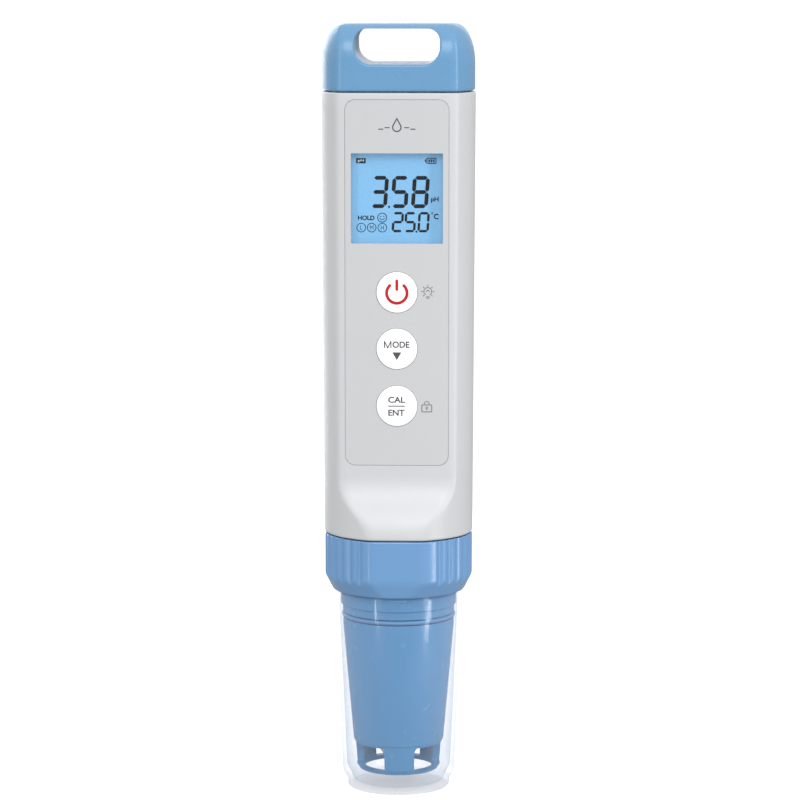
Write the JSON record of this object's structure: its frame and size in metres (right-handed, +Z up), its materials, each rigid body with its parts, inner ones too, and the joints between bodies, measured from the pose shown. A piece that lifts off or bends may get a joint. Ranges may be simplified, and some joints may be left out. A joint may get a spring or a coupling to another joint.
{
  "type": "ph test pen",
  "caption": "Pen-shaped pH tester with a display and push buttons, a ribbed lock collar, a guarded glass probe, a clear storage cap and a battery cap with a lanyard slot.",
  "frame": {"origin": "centre of the storage cap's flat bottom, which the pen stands on", "axes": "+Z up along the pen, the keypad and display face -Y, +X to the right seen from the front"},
  "size_m": [0.0376, 0.0353, 0.1882],
  "materials": {
    "casing_plastic": "fine satin moulding",
    "overlay_film": "matte printed film",
    "window_plastic": "clear, polished",
    "display_cell": "blue lit display",
    "blue_plastic": "satin moulding",
    "guard_plastic": "satin moulding",
    "button_plastic": "smooth",
    "clear_plastic": "clear, polished",
    "bulb_glass": "clear",
    "circuit_board": "solder mask",
    "dark_plastic": "moulded",
    "light_plastic": "moulded",
    "steel": "bright",
    "gold_contact": "gold plated",
    "silver_wire": "drawn wire",
    "seal_rubber": "moulded",
    "seal_clear": "translucent moulded",
    "junction_ceramic": "porous",
    "cell_can": "plain wrapper"
  },
  "bodies": {
    "casing": {"main_casing": "casing_plastic", "keypad_overlay": "overlay_film", "display_window": "window_plastic", "display_frame": "light_plastic", "display_glass": "display_cell", "display_backlight": "light_plastic", "display_strip_upper": "seal_rubber", "display_strip_lower": "seal_rubber", "main_board": "circuit_board", "controller_chip": "dark_plastic", "power_switch": "dark_plastic", "mode_switch": "dark_plastic", "calibrate_switch": "dark_plastic", "board_screw_1": "steel", "board_screw_2": "steel", "board_screw_3": "steel", "board_screw_4": "steel", "inner_frame": "light_plastic", "battery_left": "cell_can", "battery_right": "cell_can", "battery_spring_left": "steel", "battery_spring_right": "steel", "probe_socket": "dark_plastic", "socket_contact_1": "gold_contact", "socket_contact_2": "gold_contact", "socket_contact_3": "gold_contact", "socket_contact_4": "gold_contact"},
    "battery_cap": {"battery_cap": "blue_plastic", "battery_cap_seal": "seal_rubber", "battery_contact": "gold_contact"},
    "power_button": {"power_button": "button_plastic"},
    "mode_button": {"mode_button": "button_plastic"},
    "calibrate_button": {"calibrate_button": "button_plastic"},
    "probe": {"probe_sleeve": "guard_plastic", "storage_seal": "seal_clear", "probe_core": "dark_plastic", "glass_electrode": "bulb_glass", "electrode_wire": "silver_wire", "reference_junction": "junction_ceramic", "temperature_sensor": "steel", "probe_plug": "dark_plastic", "plug_pin_1": "gold_contact", "plug_pin_2": "gold_contact", "plug_pin_3": "gold_contact", "plug_pin_4": "gold_contact"},
    "lock_collar": {"lock_collar": "blue_plastic"},
    "storage_cap": {"storage_cap": "clear_plastic"}
  },
  "joints": [
    {"name": "battery_cap_pull", "type": "slide", "parent": "casing", "child": "battery_cap", "axis": [0, 0, 1], "range_m": [0, 0.03]},
    {"name": "power_press", "type": "slide", "parent": "casing", "child": "power_button", "axis": [0, 1, 0], "range_m": [0, 0.0005], "stiffness_N_per_m": 800},
    {"name": "mode_press", "type": "slide", "parent": "casing", "child": "mode_button", "axis": [0, 1, 0], "range_m": [0, 0.0005], "stiffness_N_per_m": 800},
    {"name": "calibrate_press", "type": "slide", "parent": "casing", "child": "calibrate_button", "axis": [0, 1, 0], "range_m": [0, 0.0005], "stiffness_N_per_m": 800},
    {"name": "collar_turn", "type": "hinge", "parent": "probe", "child": "lock_collar", "pos_m": [0, 0, 0.056], "axis": [0, 0, -1], "range_deg": [0, 540]},
    {"name": "probe_release", "type": "slide", "parent": "casing", "child": "probe", "axis": [0, 0, -1], "range_m": [0, 0.0045]},
    {"name": "storage_cap_pull", "type": "slide", "parent": "probe", "child": "storage_cap", "axis": [0, 0, -1], "range_m": [0, 0.055]}
  ],
  "couplings": [
    {"joint": "collar_turn", "follows": "probe_release", "rad_per_m": 2094.4}
  ]
}
